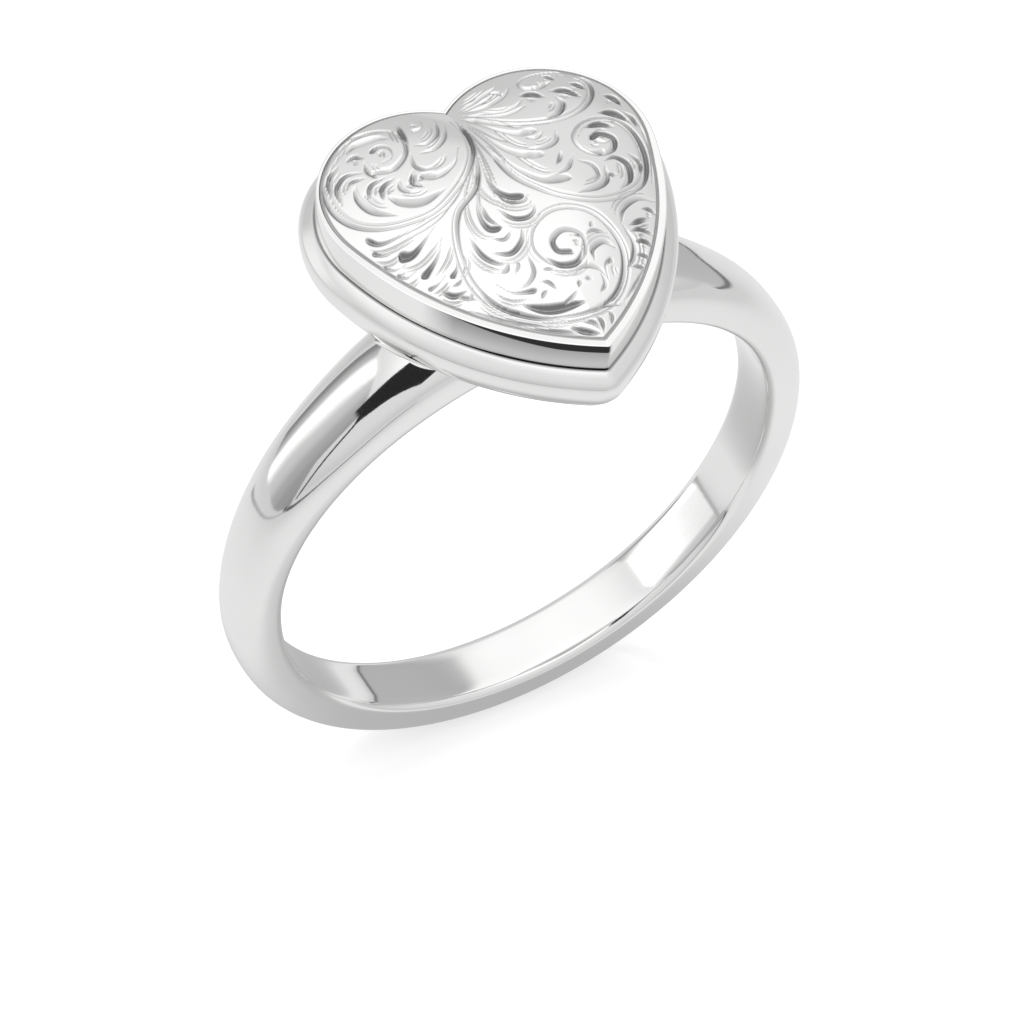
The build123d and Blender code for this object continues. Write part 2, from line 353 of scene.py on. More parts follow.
# ---- engraving: strokes of a graver on the dome, in mm from the heart's centre line.
# kind, half width (its sign says which side of the stroke is the steep one), then points along it
STROKES = (
    # backbones of the four scrolls
    ("line", 0.11, (-0.02, 4.9), (-0.1, 3.9), (-0.45, 3.0), (-1.3, 2.15), (-2.4, 1.62), (-3.4, 1.72),
     (-4.2, 2.1), (-4.75, 2.75), (-4.93, 3.6), (-4.7, 4.5), (-4.1, 5.25), (-3.2, 5.7), (-2.5, 5.75),
     (-2.0, 5.4), (-1.85, 4.8), (-2.1, 4.15), (-2.7, 3.8), (-3.25, 4.0)),
    ("line", -0.1, (0.15, 4.8), (0.6, 4.2), (1.2, 3.7), (2.0, 3.38), (2.8, 3.28), (3.6, 3.5),
     (4.2, 4.0), (4.42, 4.6), (4.2, 5.1), (3.7, 5.45), (2.9, 5.6), (2.4, 5.4), (2.42, 5.05), (2.8, 4.9),
     (3.2, 5.0)),
    ("line", -0.12, (0.02, 3.0), (0.1, 1.8), (0.5, 1.0), (1.1, 0.35), (2.0, -0.1), (3.0, -0.08),
     (3.9, 0.3), (4.45, 1.1), (4.65, 2.0), (4.45, 2.7), (3.9, 3.0), (3.2, 2.95), (2.65, 2.5),
     (2.6, 1.95), (3.0, 1.55), (3.6, 1.65), (3.85, 2.1), (3.5, 2.4), (3.2, 2.3)),
    ("line", 0.1, (-0.35, 2.9), (-1.0, 1.8), (-1.9, 1.2), (-2.4, 0.3), (-2.6, -0.8), (-2.4, -1.7),
     (-1.9, -2.4), (-1.1, -3.05), (0.0, -3.4), (0.9, -3.15), (1.6, -2.5), (1.98, -1.6), (1.75, -0.6),
     (1.1, -0.1), (0.4, -0.03), (-0.3, -0.4), (-0.58, -1.0), (-0.35, -1.6), (0.2, -1.88), (0.75, -1.65),
     (0.97, -1.15), (0.8, -0.85), (0.45, -0.75), (0.08, -0.95), (0.05, -1.3), (0.38, -1.45)),
    # leaves that fan out of the cleft to the right
    ("leaf", -0.09, (0.25, 4.9), (1.0, 4.3), (1.5, 4.18), (2.05, 4.3)),
    ("leaf", -0.08, (0.5, 4.75), (1.2, 4.4), (1.7, 4.38), (2.1, 4.6)),
    ("comma", -0.17, (0.2, 4.6), (0.7, 3.7), (1.2, 3.2), (1.75, 3.14)),
    ("comma", -0.21, (0.15, 4.3), (0.4, 3.0), (0.8, 2.35), (1.42, 2.08)),
    ("comma", -0.21, (0.12, 3.2), (0.4, 1.9), (0.9, 1.12), (1.72, 0.93)),
    ("leaf", -0.07, (1.3, 2.97), (1.6, 2.83), (1.9, 3.0)),
    ("leaf", -0.1, (1.05, 2.52), (1.6, 2.34), (2.1, 2.5), (2.32, 2.95)),
    ("leaf", 0.08, (1.58, 1.58), (1.8, 1.8), (1.98, 2.05)),
    ("leaf", -0.08, (1.35, 1.2), (1.85, 1.32), (2.25, 1.75)),
    ("leaf", -0.12, (1.65, 0.34), (2.3, 0.36), (2.8, 0.6), (2.98, 1.1)),
    ("leaf", -0.08, (2.3, 0.6), (2.62, 0.85), (2.62, 1.25), (2.3, 1.5)),
    ("leaf", -0.13, (3.05, 0.2), (3.55, 0.5), (3.78, 1.05), (3.5, 1.38), (3.1, 1.3)),
    ("leaf", -0.1, (3.95, 0.6), (4.2, 1.05), (4.0, 1.45)),
    ("leaf", 0.08, (2.85, 0.82), (3.05, 0.76), (3.2, 0.72)),
    ("comma", 0.11, (3.75, 2.05), (3.5, 1.97), (3.2, 2.12)),
    ("comma", -0.15, (2.72, 1.98), (2.9, 1.72), (3.25, 1.55)),
    ("leaf", 0.14, (3.2, 2.72), (3.7, 2.78), (4.12, 2.5)),
    ("leaf", 0.17, (3.95, 3.22), (4.45, 3.1), (4.72, 2.65)),
    ("leaf", 0.14, (4.5, 3.95), (4.8, 3.75), (4.85, 3.35)),
    ("leaf", 0.1, (4.75, 3.1), (4.92, 2.8), (4.86, 2.4)),
    ("leaf", -0.13, (2.3, 3.53), (2.8, 3.58), (3.15, 3.95), (3.1, 4.3)),
    ("leaf", 0.15, (3.05, 4.62), (3.55, 4.5), (3.82, 4.0)),
    ("leaf", 0.14, (2.1, 4.8), (2.5, 4.75), (2.78, 4.42)),
    ("leaf", 0.12, (3.8, 4.8), (4.05, 4.62), (4.15, 4.3)),
    ("leaf", 0.1, (3.2, 5.45), (3.42, 5.3), (3.5, 5.05)),
    ("comma", 0.1, (3.05, 4.85), (2.85, 4.85), (2.65, 5.0)),
    ("leaf", -0.09, (0.3, 5.2), (1.0, 5.32), (1.8, 5.62)),
    ("leaf", -0.09, (0.35, 5.1), (0.9, 5.13), (1.45, 5.2)),
    ("leaf", -0.1, (0.4, 5.0), (1.1, 4.85), (1.75, 5.05), (2.1, 5.4)),
    ("leaf", -0.07, (1.35, 5.45), (1.6, 5.3), (1.7, 5.0)),
    # the left lobe
    ("comma", 0.19, (-0.65, 3.6), (-1.1, 3.0), (-1.75, 2.8), (-2.18, 3.1)),
    ("leaf", 0.08, (-1.98, 4.1), (-2.1, 3.6), (-1.95, 3.3), (-1.55, 3.22)),
    ("leaf", 0.09, (-0.45, 4.75), (-0.75, 4.2), (-1.25, 3.88), (-1.75, 3.95)),
    ("leaf", 0.09, (-0.55, 5.2), (-0.8, 4.55), (-1.3, 4.22), (-1.7, 4.35)),
    ("comma", 0.11, (-0.95, 5.35), (-1.1, 5.02), (-1.45, 4.96)),
    ("leaf", 0.12, (-1.62, 5.65), (-1.72, 5.1), (-1.84, 4.5)),
    ("leaf", 0.18, (-1.85, 2.24), (-2.6, 2.14), (-3.15, 2.48), (-3.38, 2.98)),
    ("leaf", 0.09, (-2.68, 2.58), (-2.9, 2.98), (-2.78, 3.36)),
    ("leaf", 0.12, (-2.33, 2.68), (-2.5, 3.02), (-2.25, 3.42)),
    ("leaf", 0.13, (-3.45, 2.15), (-4.0, 2.7), (-4.15, 3.4), (-3.95, 3.95)),
    ("leaf", 0.1, (-3.55, 2.9), (-3.35, 3.35), (-2.88, 3.5)),
    ("leaf", 0.09, (-3.9, 3.15), (-3.6, 3.62), (-3.1, 3.68)),
    ("leaf", 0.1, (-4.6, 3.5), (-4.45, 4.15), (-4.0, 4.45), (-3.55, 4.25)),
    ("leaf", 0.11, (-4.72, 3.95), (-4.45, 4.65), (-3.95, 4.98)),
    ("leaf", 0.08, (-4.2, 4.0), (-3.95, 4.12), (-3.6, 4.0)),
    ("leaf", -0.15, (-3.5, 5.28), (-3.1, 5.42), (-2.5, 5.33), (-2.2, 5.1)),
    ("leaf", 0.1, (-3.7, 4.95), (-3.4, 5.0), (-3.2, 4.75)),
    ("comma", -0.12, (-2.85, 4.22), (-2.5, 4.3), (-2.38, 4.7), (-2.6, 4.95), (-2.95, 4.85)),
    ("leaf", 0.1, (-3.3, 3.75), (-3.38, 4.2), (-3.25, 4.6)),
    # leaves and lines that fall from the cleft
    ("hair", 0.05, (0.0, 4.6), (0.0, 3.2), (0.08, 1.75)),
    ("hair", 0.05, (-0.05, 4.2), (-0.2, 3.0), (-0.45, 1.6)),
    ("hair", 0.045, (0.1, 4.4), (0.22, 3.2), (0.3, 2.2)),
    ("hair", 0.045, (0.15, 4.5), (0.45, 3.5), (0.85, 2.9)),
    ("hair", 0.045, (-0.1, 3.6), (-0.3, 2.6), (-0.72, 1.2)),
    ("hair", 0.045, (-0.2, 3.3), (-0.7, 2.3), (-1.2, 1.3), (-1.45, 0.6)),
    ("hair", 0.045, (-0.5, 2.8), (-1.3, 1.9), (-1.85, 0.9), (-1.95, 0.1)),
    ("hair", 0.04, (-0.9, 2.4), (-1.7, 1.8), (-2.7, 1.3), (-4.1, 1.32)),
    ("hair", 0.04, (-1.2, 2.15), (-2.0, 1.6), (-3.0, 1.45), (-3.9, 1.5)),
    ("comma", 0.19, (-0.35, 2.9), (-0.58, 1.7), (-0.4, 1.12), (0.08, 0.86)),
    ("leaf", 0.09, (-0.62, 1.5), (-0.45, 0.9), (-0.05, 0.7), (0.2, 0.86)),
    ("leaf", 0.1, (-0.86, 0.75), (-0.65, 0.3), (-0.3, 0.12), (0.0, 0.18), (0.2, 0.42)),
    ("comma", 0.15, (-1.0, 1.9), (-1.42, 0.9), (-1.42, 0.3), (-1.08, 0.12)),
    ("leaf", 0.08, (-1.22, 1.15), (-1.27, 0.6), (-1.1, 0.15)),
    ("leaf", 0.09, (-2.08, 0.3), (-2.0, -0.4), (-1.75, -0.85), (-1.45, -1.02)),
    ("leaf", 0.07, (-1.5, -0.1), (-1.2, -0.27), (-0.9, -0.12)),
    ("leaf", 0.1, (-1.75, -0.5), (-1.25, -0.76), (-0.8, -0.55), (-0.55, -0.15)),
    ("leaf", -0.08, (-1.82, -1.17), (-1.6, -1.2), (-1.45, -1.02)),
    ("leaf", 0.06, (-1.28, -1.0), (-1.22, -1.22), (-1.45, -1.42)),
    ("comma", 0.11, (-2.08, -1.4), (-1.75, -1.88), (-1.1, -2.13)),
    ("leaf", 0.08, (-0.85, -1.05), (-0.9, -1.6), (-1.2, -1.85), (-1.55, -1.87)),
    ("leaf", 0.06, (-0.68, -1.68), (-0.5, -1.72), (-0.38, -1.84)),
    ("leaf", 0.07, (-0.9, -1.97), (-0.68, -2.1), (-0.58, -2.4)),
    ("leaf", 0.07, (-1.12, -2.45), (-0.98, -2.32), (-0.82, -2.3)),
    ("leaf", 0.08, (-1.08, -2.78), (-0.6, -2.87), (0.02, -2.68)),
    ("leaf", 0.17, (-1.72, -2.3), (-1.0, -2.78), (0.1, -3.12)),
    ("leaf", -0.08, (0.05, -2.2), (0.5, -2.05), (0.92, -2.22), (1.02, -2.5)),
    ("leaf", 0.07, (0.03, -2.62), (0.12, -2.48), (0.25, -2.5)),
    ("leaf", 0.06, (0.35, -2.42), (0.45, -2.42), (0.58, -2.46)),
    ("leaf", 0.07, (0.6, -2.95), (0.88, -2.7), (0.92, -2.4)),
    ("leaf", -0.1, (0.95, -1.95), (1.08, -1.6), (1.52, -1.45), (1.8, -1.7)),
    ("comma", 0.1, (1.05, -2.6), (1.2, -2.15), (1.5, -2.0)),
    ("leaf", 0.07, (1.1, -1.1), (1.4, -1.0), (1.8, -1.2)),
    ("leaf", 0.06, (1.35, -0.88), (1.45, -0.78), (1.55, -0.76)),
    ("comma", 0.09, (0.62, -0.97), (0.75, -1.0), (0.95, -1.05)),
    ("leaf", 0.12, (-0.42, -1.35), (-0.1, -1.75), (0.4, -1.83), (0.8, -1.5)),
    # leaves along the lower left border
    ("comma", -0.12, (-2.9, 1.55), (-3.7, 1.52), (-4.3, 1.65), (-4.58, 2.05)),
    ("comma", -0.11, (-3.85, 1.27), (-4.3, 1.22), (-4.62, 1.55)),
    ("comma", -0.22, (-2.75, 1.2), (-3.4, 0.88), (-3.75, 0.82), (-4.02, 1.02)),
    ("comma", -0.1, (-4.0, 0.62), (-4.35, 0.68), (-4.55, 0.98)),
    ("comma", -0.1, (-3.85, 0.28), (-4.15, 0.25), (-4.35, 0.5)),
    ("comma", -0.16, (-2.75, 0.75), (-3.15, 0.28), (-3.8, -0.02)),
    ("comma", -0.09, (-3.2, -0.34), (-3.5, -0.45), (-3.8, -0.42)),
    ("comma", -0.12, (-2.68, 0.05), (-2.8, -0.32), (-3.1, -0.5)),
    ("leaf", -0.06, (-2.82, -0.72), (-3.0, -0.76), (-3.18, -0.75)),
    ("leaf", 0.1, (-3.55, -0.62), (-3.25, -1.0), (-2.88, -1.1)),
    ("comma", 0.08, (-2.68, -1.05), (-2.75, -1.22), (-2.88, -1.38)),
    ("leaf", 0.07, (-3.3, -0.98), (-3.0, -1.25), (-2.75, -1.5)),
    ("leaf", 0.1, (-2.62, -1.0), (-2.35, -1.9), (-1.6, -2.75), (-0.7, -3.35)),
    ("leaf", 0.08, (-3.3, -1.45), (-2.4, -2.35), (-1.4, -3.15), (-0.5, -3.62)),
    ("leaf", 0.09, (-2.2, -2.65), (-1.3, -3.35), (-0.4, -3.95)),
    ("leaf", 0.11, (-0.8, -3.52), (-0.35, -3.88), (0.0, -4.16)),
    ("leaf", 0.08, (-0.42, -3.52), (-0.08, -3.72), (0.04, -4.05)),
    ("leaf", -0.08, (0.0, -3.44), (0.6, -3.36), (1.18, -3.46)),
    ("leaf", 0.09, (0.12, -3.55), (0.2, -3.8), (0.1, -4.1)),
    ("leaf", 0.08, (0.55, -3.5), (0.6, -3.7), (0.45, -3.95)),
    # leaves along the lower right border
    ("leaf", -0.1, (2.4, -1.0), (2.75, -0.5), (3.4, -0.22), (3.98, -0.38)),
    ("leaf", -0.1, (2.42, -1.05), (2.45, -1.6), (2.2, -2.05), (1.7, -2.5)),
    ("leaf", 0.1, (2.65, -1.05), (3.05, -0.92), (3.42, -0.9)),
    ("leaf", 0.1, (2.58, -1.25), (2.95, -1.2), (3.3, -1.5)),
    ("leaf", 0.1, (2.5, -1.6), (2.85, -1.6), (3.08, -1.9)),
    ("leaf", 0.09, (2.3, -2.0), (2.6, -2.05), (2.75, -2.3)),
    ("leaf", 0.08, (2.0, -2.35), (2.3, -2.4), (2.4, -2.65)),
    ("leaf", 0.09, (3.35, -0.55), (3.6, -0.6), (3.72, -0.85)),
    ("leaf", 0.06, (4.2, 0.3), (4.7, 1.3), (4.92, 2.1), (4.98, 2.8)),
    ("leaf", 0.07, (1.2, -3.35), (1.9, -2.85), (2.6, -2.3)),
)


def through(points, per=10):
    """Catmull-Rom curve through points."""
    p = np.array(points, float)
    p = np.vstack([2 * p[0] - p[1], p, 2 * p[-1] - p[-2]])
    out = []
    t = np.linspace(0, 1, per, endpoint=False)[:, None]
    for i in range(1, len(p) - 2):
        a, b, c, d = p[i - 1 : i + 3]
        bend, twist = 2 * a - 5 * b + 4 * c - d, 3 * b - a - 3 * c + d
        out.append(0.5 * (2 * b + (c - a) * t + bend * t ** 2 + twist * t ** 3))
    return np.vstack(out + [p[-2][None]])


def swell(kind, t):
    """How wide a stroke is along its length, 0 to 1."""
    if kind == "line":
        waves = 0.55 + 0.45 * np.sin(2 * math.pi * (2.2 * t + 0.1))
        return np.clip(waves, 0.45, 1.0) * np.clip(t / 0.04, 0.2, 1)
    if kind == "leaf":
        return np.clip(np.sin(math.pi * np.clip(t, 0.02, 0.98)), 0.05, 1) ** 0.8
    if kind == "hair":
        return np.sin(math.pi * np.clip(t, 0.05, 0.95)) ** 0.5
    return np.clip(t, 0.04, 1) ** 1.5 * np.sqrt(np.clip(1 - ((t - 0.86) / 0.14).clip(0) ** 2, 0, 1))


# a cut's reach to its steep and its shallow side, and its depth, as shares of its half width
STEEP, SHALLOW, DEPTH = 0.75, 1.5, 1.1
# half widths of the fine shading cuts, and the half width above which a stroke gets two of them
HAIR, THIN_HAIR, BROAD = 0.048, 0.042, 0.085


def beside(path, gap):
    """A path shifted sideways, to the left of its travel for a positive gap."""
    along = np.gradient(path, axis=0)
    along /= np.linalg.norm(along, axis=1)[:, None]
    return path + gap * np.c_[-along[:, 1], along[:, 0]]


def all_strokes():
    """Every stroke as (kind, half width, path), with the fine shading cuts beside the broad ones."""
    made = []
    for kind, width, *points in STROKES:
        path = through(points)
        made.append((kind, width, path))
        n, side, gap = len(path), np.sign(width), abs(width) * SHALLOW
        if kind == "line":
            made.append(("hair", HAIR * side, beside(path, -side * 0.17)[: n * 2 // 3]))
        elif abs(width) > BROAD and kind != "hair":
            near, far = beside(path, -side * (gap + 0.06)), beside(path, -side * (gap + 0.17))
            made.append(("hair", HAIR * side, near[n // 6 : n * 5 // 6]))
            made.append(("hair", THIN_HAIR * side, far[n // 4 : n * 3 // 4]))
    return made


def engrave(x, y):
    """Depth of the engraving at points of the dome, in mm, and how dark each cut is, 0 to 1: painted shade
    along its steep wall, and oxide towards its bottom on the shallow side.
    """
    depth, tone = np.zeros_like(x), np.zeros_like(x)
    for kind, width, path in all_strokes():
        reach = abs(width) * SHALLOW
        near = np.nonzero(
            (x > path[:, 0].min() - reach) & (x < path[:, 0].max() + reach)
            & (y > path[:, 1].min() - reach) & (y < path[:, 1].max() + reach)
        )[0]
        a, step = path[:-1], np.diff(path, axis=0)
        length = np.hypot(*step.T)
        along = np.r_[0, np.cumsum(length)]
        for block in np.array_split(near, max(1, len(near) // 4000)):
            dx, dy = x[block, None] - a[:, 0], y[block, None] - a[:, 1]
            t = np.clip((dx * step[:, 0] + dy * step[:, 1]) / length ** 2, 0, 1)
            gap = np.hypot(dx - t * step[:, 0], dy - t * step[:, 1])
            k = gap.argmin(1)
            pick = np.arange(len(block))
            side = np.sign(step[k, 0] * dy[pick, k] - step[k, 1] * dx[pick, k]) * np.sign(width)
            share = (along[k] + t[pick, k] * length[k]) / along[-1]
            w = np.maximum(abs(width) * swell(kind, share), 0.02)
            reach_here = np.where(side > 0, STEEP, SHALLOW) * w
            inward = np.clip(1 - gap[pick, k] / reach_here, 0, 1)
            cut_here = w * DEPTH * (0.6 * inward + 0.4 * smooth(inward))
            # the steep wall is painted dark as shade; the shallow side darkens towards the bottom of the cut
            # as oxide
            dark = np.where(side > 0, np.clip(inward * 2.5, 0, 1), inward ** 2.5)
            dark *= np.clip(w / 0.1, 0.5, 1)
            deeper = cut_here > depth[block]
            depth[block] = np.where(deeper, cut_here, depth[block])
            tone[block] = np.where(deeper, dark, tone[block])
    return depth, tone


# ---- the engraved dome: a square grid mapped onto the heart
GRID = 304
edge_reach = reach_of(field_edge(half_outline, n_lobe=400, n_side=400, n_tip=20))
u = np.linspace(-1, 1, GRID + 1)
U, V = np.meshgrid(u, u)
with np.errstate(divide="ignore", invalid="ignore"):
    wide = np.abs(U) > np.abs(V)
    radius = np.where(wide, U, V)
    sideways = np.pi / 4 * V / np.where(U == 0, 1, U)
    upward = np.pi / 2 - np.pi / 4 * U / np.where(V == 0, 1, V)
phi = np.where(wide, sideways, upward)
# share is how far out a point lies, 0 at the centre and 1 at the edge
share = np.abs(radius)
angle = np.where(radius < 0, phi + np.pi, phi)
reach = edge_reach(np.arctan2(np.sin(angle), np.abs(np.cos(angle))))
X = share * reach * np.cos(angle)
Y = CENTRE_Y + share * reach * np.sin(angle)
X[:, GRID // 2] = 0.0
cuts, tones = engrave(X.ravel(), Y.ravel())
# the cuts run out just inside the edge, and the edge itself dips a little below the border
cuts = cuts.reshape(X.shape) * np.clip((1 - share) / 0.03, 0, 1)
dip = 0.04 * (1 - np.clip((1 - share) / 0.012, 0, 1))
# the middle of the dome is round; towards its edge it follows the heart
heart_like = smooth(np.clip((share - 0.2) / 0.65, 0, 1))
round_fall = (X ** 2 + (Y - CENTRE_Y) ** 2) / DOME_ROUND ** 2
fall = share ** 2 * heart_like + round_fall * (1 - heart_like)
Z = BORDER_Z + DOME_RISE * (1 - fall) - cuts - dip
top = np.c_[X.ravel(), Y.ravel(), Z.ravel()]
idx = np.arange(len(top)).reshape(X.shape)
quads = np.stack([idx[:-1, :-1], idx[:-1, 1:], idx[1:, 1:], idx[1:, :-1]], -1).reshape(-1, 4)
rim_idx = np.r_[idx[0, :-1], idx[:-1, -1], idx[-1, :0:-1], idx[:0:-1, 0]]
rim_pts = top[rim_idx]
faces = quads.tolist()
verts = [top]
count, previous = len(top), rim_idx
# the plate's back: flat where it sits on the wall, hollow inside
SEAT = 0.94
for s in (1.0, SEAT, 0.85, 0.7, 0.5, 0.3, 0.12, 0.03):
    z = BORDER_Z - PLATE if s >= SEAT else BORDER_Z - PLATE + DOME_RISE * (1 - (s / SEAT) ** 2)
    ring = np.c_[rim_pts[:, 0] * s, CENTRE_Y + (rim_pts[:, 1] - CENTRE_Y) * s, np.full(len(rim_pts), z)]
    current = np.arange(count, count + len(ring))
    faces += np.stack([previous, np.roll(previous, -1), np.roll(current, -1), current], -1).tolist()
    verts.append(ring)
    count += len(ring)
    previous = current
faces.append(current[::-1].tolist())
verts = np.vstack(verts)
dome = new_piece("lid_dome_engraved", verts, faces, "lid", "engraved_silver", "lid_dome", sharp=120)
# the engraving's oxide and painted shade, and a painted shade line in the groove where the dome's edge dips
# below the border
dome_oxide_and_shade = np.maximum(tones, 0.7 * (share.ravel() > 0.985))
mark_oxide_and_shade(dome, lambda x, y, z: np.r_[dome_oxide_and_shade, np.zeros(count - len(top))])

# ---- finger band
BORE, BAND_R, SHOULDER_R = 8.5, 9.95, 10.3
# half width at the foot, and how much the shoulders add to it
HALF_WIDTH, SHOULDER_EXTRA = 1.1, 0.65
# the shoulders rise from this angle above the middle of the bore, over this many degrees
SHOULDER_FROM, SHOULDER_OVER = 41, 32
# rounding of the bore's edges, where the crown starts outside the bore, and how full the crown is
CORNER, CROWN_FROM, CROWN_POWER = 0.3, 0.45, 2 / 2.5
# height at which the band lies hidden under the compartment
SUNK_Z = 9.2


def inside_case(x, y, z):
    """How far a point lies inside the case's outer form, roughly, in mm; negative outside."""
    levels = np.linspace(BACK_Z, SEAM_Z, 42)
    out = np.interp(z, levels, [case_out(v) for v in levels])
    limit = reach_of(half_outline(0.0, 0.2))(np.arctan2(y - CENTRE_Y, np.abs(x)))
    return np.minimum(limit + out - np.hypot(x, y - CENTRE_Y), z - BACK_Z)


sections = []
for theta in np.radians(np.arange(-90, 270, 0.75)):
    s = math.sin(theta)
    half_width = HALF_WIDTH + SHOULDER_EXTRA * max(0.0, s) ** 1.5
    above = math.degrees(math.asin(min(1.0, max(-1.0, s))))
    g = min(1.0, max(0.0, (above - SHOULDER_FROM) / SHOULDER_OVER))
    r_out = BAND_R + (SHOULDER_R - BAND_R) * g ** 3 * (10 - 15 * g + 6 * g * g)
    t = np.linspace(0, math.pi / 2, 9)
    corner_y = (half_width - CORNER) + CORNER * np.sin(t)
    corner_r = (BORE + CORNER) - CORNER * np.cos(t)
    q = np.linspace(math.pi / 2, 0, 26)
    r_mid = BORE + CROWN_FROM
    crown_y = half_width * np.sin(q) ** CROWN_POWER
    crown_r = r_mid + (r_out - r_mid) * np.cos(q) ** CROWN_POWER
    flat = np.linspace(-(half_width - CORNER), half_width - CORNER, 7)[1:-1]
    yy = np.r_[flat, corner_y, crown_y, -crown_y[::-1][1:], -corner_y[::-1]]
    rr = np.r_[np.full(5, BORE), corner_r, crown_r, crown_r[::-1][1:], corner_r[::-1]]
    sections.append(np.c_[rr * math.cos(theta), yy, rr * math.sin(theta)])
sections = np.array(sections)
points = sections.reshape(-1, 3)
deep = inside_case(points[:, 0], points[:, 1], np.maximum(points[:, 2], BACK_Z + 0.001))
# inside the belly's wall the band sinks out of the compartment
sink = smooth(np.clip((deep - 0.25) / 0.4, 0, 1)) * (points[:, 2] > SUNK_Z)
points[:, 2] += (SUNK_Z - points[:, 2]) * sink
verts, faces = stack(list(points.reshape(sections.shape)))
new_piece("band_polished", verts, faces, "ring", "band_silver", "band", sharp=40)


# ---- materials
def math_node(nodes, links, operation, *values):
    """A math node fed by sockets or plain numbers; returns its output."""
    node = nodes.new("ShaderNodeMath")
    node.operation = operation
    for socket, value in zip(node.inputs, values):
        if isinstance(value, (int, float)):
            socket.default_value = value
        else:
            links.new(value, socket)
    return node.outputs[0]


def tone_ramp(nodes, links, value, stops):
    """Grey tones eased along a value from 0 to 1."""
    ramp = nodes.new("ShaderNodeValToRGB")
    ramp.color_ramp.interpolation = "EASE"
    elements = ramp.color_ramp.elements
    for i, (position, tone) in enumerate(stops):
        stop = elements[i] if i < 2 else elements.new(position)
        stop.position, stop.color = position, (tone, tone, tone, 1)
    links.new(value, ramp.inputs["Fac"])
    return ramp.outputs["Color"]


def silver(name, tone, rough, scratch, oxide_and_shade_depth=0.0):
    """Polished silver: faint polishing marks in bump and roughness, slight tone clouds, and oxide with
    painted shade and painted reflection.
    """
    mat = bpy.data.materials.new(name)
    mat.use_nodes = True
    nodes, links = mat.node_tree.nodes, mat.node_tree.links
    bsdf = nodes["Principled BSDF"]
    bsdf.inputs["Metallic"].default_value = 1.0
    where = nodes.new("ShaderNodeTexCoord")
    clouds = nodes.new("ShaderNodeTexNoise")
    clouds.inputs["Scale"].default_value = 350.0
    clouds.inputs["Detail"].default_value = 3.0
    links.new(where.outputs["Object"], clouds.inputs["Vector"])
    ramp = nodes.new("ShaderNodeValToRGB")
    ramp.color_ramp.elements[0].position, ramp.color_ramp.elements[1].position = 0.3, 0.7
    ramp.color_ramp.elements[0].color = tuple(v * 0.96 for v in tone) + (1,)
    ramp.color_ramp.elements[1].color = tuple(tone) + (1,)
    links.new(clouds.outputs["Fac"], ramp.inputs["Fac"])
    colour = ramp.outputs["Color"]
    marks = nodes.new("ShaderNodeTexNoise")
    marks.inputs["Scale"].default_value = 9000.0
    marks.inputs["Detail"].default_value = 4.0
    links.new(where.outputs["Object"], marks.inputs["Vector"])
    spread = nodes.new("ShaderNodeMapRange")
    spread.inputs["To Min"].default_value = rough * 0.7
    spread.inputs["To Max"].default_value = rough * 1.4
    links.new(marks.outputs["Fac"], spread.inputs["Value"])
    links.new(spread.outputs["Result"], bsdf.inputs["Roughness"])
    bump = nodes.new("ShaderNodeBump")
    bump.inputs["Strength"].default_value = scratch
    bump.inputs["Distance"].default_value = 0.00001
    links.new(marks.outputs["Fac"], bump.inputs["Height"])
    links.new(bump.outputs["Normal"], bsdf.inputs["Normal"])
    if oxide_and_shade_depth:
        colour = oxide(nodes, links, colour, oxide_and_shade_depth)
    links.new(colour, bsdf.inputs["Base Color"])
    return mat


def oxide(nodes, links, colour, depth):
    """The colour, darkened by depth where the piece's mark is 1: oxide in the engraved cuts, and painted
    shade and painted reflection elsewhere.
    """
    oxide_and_shade_mark = nodes.new("ShaderNodeAttribute")
    oxide_and_shade_mark.attribute_name = "oxide"
    mix = nodes.new("ShaderNodeMix")
    mix.data_type = "RGBA"
    mix.blend_type = "MULTIPLY"
    mix.inputs["B"].default_value = (0.02, 0.02, 0.022, 1)
    links.new(math_node(nodes, links, "MULTIPLY", oxide_and_shade_mark.outputs["Fac"], depth), mix.inputs["Factor"])
    links.new(colour, mix.inputs["A"])
    return mix.outputs["Result"]


# the last number sets how dark the mark of oxide and painted shade makes each silver
MATS = {
    "band_silver": silver("silver_band", (0.93, 0.93, 0.925), 0.07, 0.03),
    "case_silver": silver("silver_case", (0.93, 0.93, 0.925), 0.08, 0.04, 0.9),
    "lid_silver": silver("silver_lid", (0.95, 0.95, 0.945), 0.06, 0.03, 0.99),
    "engraved_silver": silver("silver_engraved", (0.95, 0.95, 0.945), 0.09, 0.05, 0.74),
    "hinge_silver": silver("silver_hinge", (0.9, 0.9, 0.89), 0.14, 0.1),
    "spring_silver": silver("silver_spring", (0.86, 0.86, 0.85), 0.28, 0.3),
}
slots = {s["node"]: s["material_slot"] for s in frame["record"]["subparts"]}
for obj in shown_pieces():
    slot = slots.get(obj.name) or obj.get("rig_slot")
    obj.data.materials.clear()
    obj.data.materials.append(MATS[slot])

# ---- stage
floor_z = cad_box[0].z - 0.00002
# tones of the floor as the ring mirrors it, by distance as a share of a radius in metres; darkest close under
# the ring, a painted shadow of it
POOL_RADIUS, POOL_TONES = 0.1, ((0.1, 0.48), (0.17, 0.84), (0.9, 0.68))
FLOOR_HALF = 3.0


def stage_material(name, build):
    """A material for the studio, from a function that builds its shader."""
    mat = bpy.data.materials.new(name)
    mat.use_nodes = True
    nodes, links = mat.node_tree.nodes, mat.node_tree.links
    nodes.clear()
    out = nodes.new("ShaderNodeOutputMaterial")
    links.new(build(nodes, links), out.inputs["Surface"])
    return mat


